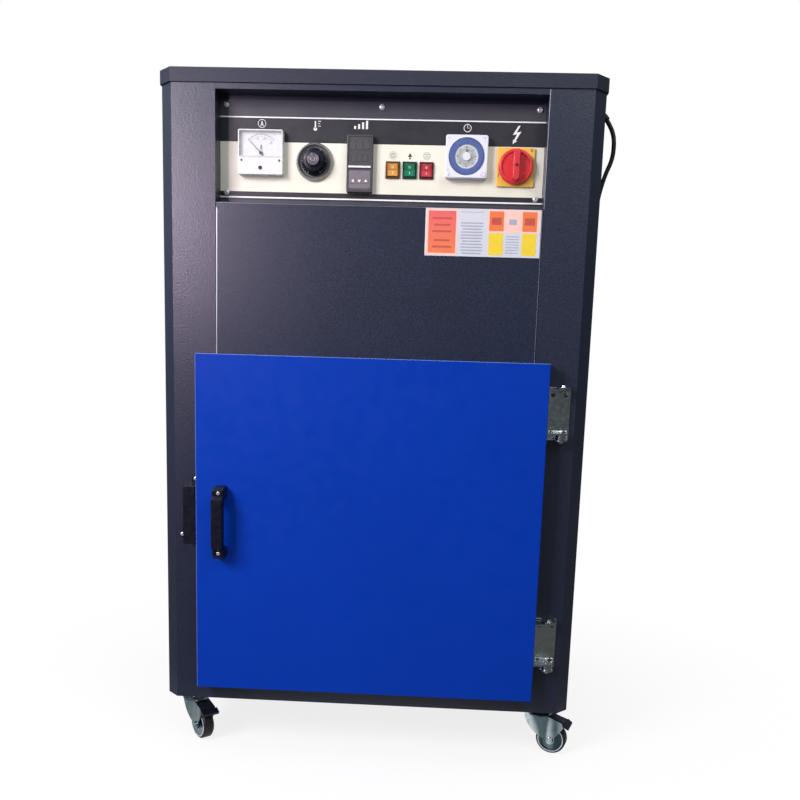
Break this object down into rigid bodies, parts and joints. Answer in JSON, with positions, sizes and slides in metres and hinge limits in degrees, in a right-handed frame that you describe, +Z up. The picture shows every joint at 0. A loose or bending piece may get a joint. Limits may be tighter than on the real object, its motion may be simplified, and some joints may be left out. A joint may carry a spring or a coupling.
{
  "type": "hot air drying oven",
  "caption": "Floor-standing hot air drying oven: chamfered steel cabinet on casters, recessed control panel, side-hung insulated door, slide-in trays and a top fan.",
  "frame": {"origin": "on the floor under the middle of the oven's box, cord left out", "axes": "+Z up, the door and the control panel face -Y, +X to the right as seen from the front"},
  "size_m": [0.8145, 0.9854, 1.233],
  "materials": {
    "hammered_paint": "hammered powder coat, satin",
    "door_paint": "powder coat, satin",
    "panel_paint": "smooth paint with a printed light band",
    "galvanized": "galvanized sheet",
    "stainless": "brushed sheet",
    "bright_zinc": "bright zinc plate",
    "mineral_wool": "matt felted wool",
    "motor_cast": "painted casting",
    "heater_sheath": "heat-stained sheath",
    "black_plastic": "satin moulding",
    "white_plastic": "gloss moulding",
    "grey_plastic": "satin moulding",
    "blue_plastic": "satin moulding",
    "yellow_plastic": "satin moulding",
    "red_plastic": "gloss moulding",
    "amber_lens": "clear tinted",
    "green_lens": "clear tinted",
    "clear_window": "clear",
    "needle_black": "matt black",
    "gasket_rubber": "matt silicone",
    "tyre_rubber": "solid, satin",
    "cord_rubber": "satin jacket"
  },
  "bodies": {
    "cabinet": {"left_side_panel": "hammered_paint", "right_side_panel": "hammered_paint", "back_panel": "hammered_paint", "base_pan": "hammered_paint", "top_cap": "hammered_paint", "front_frame": "hammered_paint", "cover_panel": "hammered_paint", "control_recess": "hammered_paint", "control_fascia": "panel_paint", "fascia_screws": "bright_zinc", "chamber_liner": "stainless", "chamber_insulation": "mineral_wool", "air_panels": "stainless", "ceiling_panel": "stainless", "tray_runners": "stainless", "drying_trays": "stainless", "heater_bank": "heater_sheath", "blower_motor": "motor_cast", "exhaust_spigot": "galvanized", "hinge_bases": "bright_zinc", "hinge_pins": "bright_zinc", "catch_housing": "black_plastic", "ammeter_case": "white_plastic", "ammeter_window": "clear_window", "thermostat_bezel": "bright_zinc", "temperature_controller": "black_plastic", "rocker_frames": "black_plastic", "timer_case": "grey_plastic", "main_switch_plate": "yellow_plastic", "caster_plates": "bright_zinc", "rear_caster_brackets": "bright_zinc", "cable_gland": "black_plastic", "power_cord": "cord_rubber", "cord_coil": "cord_rubber", "power_plug": "cord_rubber"},
    "door": {"door_shell": "door_paint", "door_insulation": "mineral_wool", "door_liner": "stainless", "door_gasket": "gasket_rubber", "door_handle": "black_plastic", "catch_strike": "bright_zinc", "hinge_arms": "bright_zinc"},
    "impeller": {"blower_impeller": "galvanized"},
    "damper": {"exhaust_damper": "galvanized"},
    "needle": {"ammeter_needle": "needle_black"},
    "thermostat": {"thermostat_knob": "black_plastic"},
    "amber_rocker": {"rocker_amber": "amber_lens"},
    "green_rocker": {"rocker_green": "green_lens"},
    "red_rocker": {"rocker_red": "red_plastic"},
    "timer_ring": {"timer_dial": "blue_plastic", "timer_hub": "white_plastic"},
    "main_switch": {"main_switch_knob": "red_plastic"},
    "left_caster": {"left_caster_fork": "bright_zinc"},
    "right_caster": {"right_caster_fork": "bright_zinc"},
    "left_pedal": {"left_brake_pedal": "black_plastic"},
    "right_pedal": {"right_brake_pedal": "black_plastic"},
    "wheel_front_left": {"front_left_wheel": "tyre_rubber"},
    "wheel_front_right": {"front_right_wheel": "tyre_rubber"},
    "wheel_rear_left": {"rear_left_wheel": "tyre_rubber"},
    "wheel_rear_right": {"rear_right_wheel": "tyre_rubber"}
  },
  "joints": [
    {"name": "door_hinge", "type": "hinge", "parent": "cabinet", "child": "door", "pos_m": [0.3375, -0.3255, 0.4465], "axis": [0, 0, 1], "range_deg": [0, 170]},
    {"name": "impeller_spin", "type": "hinge", "parent": "cabinet", "child": "impeller", "pos_m": [0, -0.024, 0.683], "axis": [0, 0, 1], "continuous": true},
    {"name": "damper_turn", "type": "hinge", "parent": "cabinet", "child": "damper", "pos_m": [-0.15, 0.345, 0.683], "axis": [-1, 0, 0], "range_deg": [0, 90]},
    {"name": "needle_swing", "type": "hinge", "parent": "cabinet", "child": "needle", "pos_m": [-0.2125, -0.2762, 1.10094], "axis": [0, 1, 0], "range_deg": [0, 90], "stiffness_Nm_per_rad": 0.0001, "springref_deg": -17.19},
    {"name": "thermostat_turn", "type": "hinge", "parent": "cabinet", "child": "thermostat", "pos_m": [-0.1175, -0.2668, 1.089], "axis": [0, 1, 0], "range_deg": [0, 300]},
    {"name": "amber_rock", "type": "hinge", "parent": "cabinet", "child": "amber_rocker", "pos_m": [0.0217, -0.2683, 1.0785], "axis": [-1, 0, 0], "range_deg": [0, 16]},
    {"name": "green_rock", "type": "hinge", "parent": "cabinet", "child": "green_rocker", "pos_m": [0.0516, -0.2683, 1.0785], "axis": [-1, 0, 0], "range_deg": [0, 16]},
    {"name": "red_rock", "type": "hinge", "parent": "cabinet", "child": "red_rocker", "pos_m": [0.0815, -0.2683, 1.0785], "axis": [-1, 0, 0], "range_deg": [0, 16]},
    {"name": "timer_turn", "type": "hinge", "parent": "cabinet", "child": "timer_ring", "pos_m": [0.151, -0.2668, 1.101], "axis": [0, 1, 0], "continuous": true},
    {"name": "main_switch_turn", "type": "hinge", "parent": "cabinet", "child": "main_switch", "pos_m": [0.238, -0.2668, 1.087], "axis": [0, 1, 0], "range_deg": [0, 90]},
    {"name": "left_swivel", "type": "hinge", "parent": "cabinet", "child": "left_caster", "pos_m": [-0.34, -0.2565, 0.085], "axis": [0, 0, 1], "continuous": true},
    {"name": "front_left_roll", "type": "hinge", "parent": "left_caster", "child": "wheel_front_left", "pos_m": [-0.3226, -0.27582, 0.029], "axis": [-0.7431, -0.6691, 0], "continuous": true},
    {"name": "left_brake_press", "type": "hinge", "parent": "left_caster", "child": "left_pedal", "pos_m": [-0.32662, -0.27136, 0.068], "axis": [0.7431, 0.6691, 0], "range_deg": [0, 8]},
    {"name": "right_swivel", "type": "hinge", "parent": "cabinet", "child": "right_caster", "pos_m": [0.34, -0.2565, 0.085], "axis": [0, 0, 1], "continuous": true},
    {"name": "front_right_roll", "type": "hinge", "parent": "right_caster", "child": "wheel_front_right", "pos_m": [0.36443, -0.26539, 0.029], "axis": [-0.342, -0.9397, 0], "continuous": true},
    {"name": "right_brake_press", "type": "hinge", "parent": "right_caster", "child": "right_pedal", "pos_m": [0.35879, -0.26334, 0.068], "axis": [0.342, 0.9397, 0], "range_deg": [0, 8]},
    {"name": "rear_left_roll", "type": "hinge", "parent": "cabinet", "child": "wheel_rear_left", "pos_m": [-0.34, 0.2895, 0.029], "axis": [1, 0, 0], "continuous": true},
    {"name": "rear_right_roll", "type": "hinge", "parent": "cabinet", "child": "wheel_rear_right", "pos_m": [0.34, 0.2895, 0.029], "axis": [1, 0, 0], "continuous": true}
  ]
}
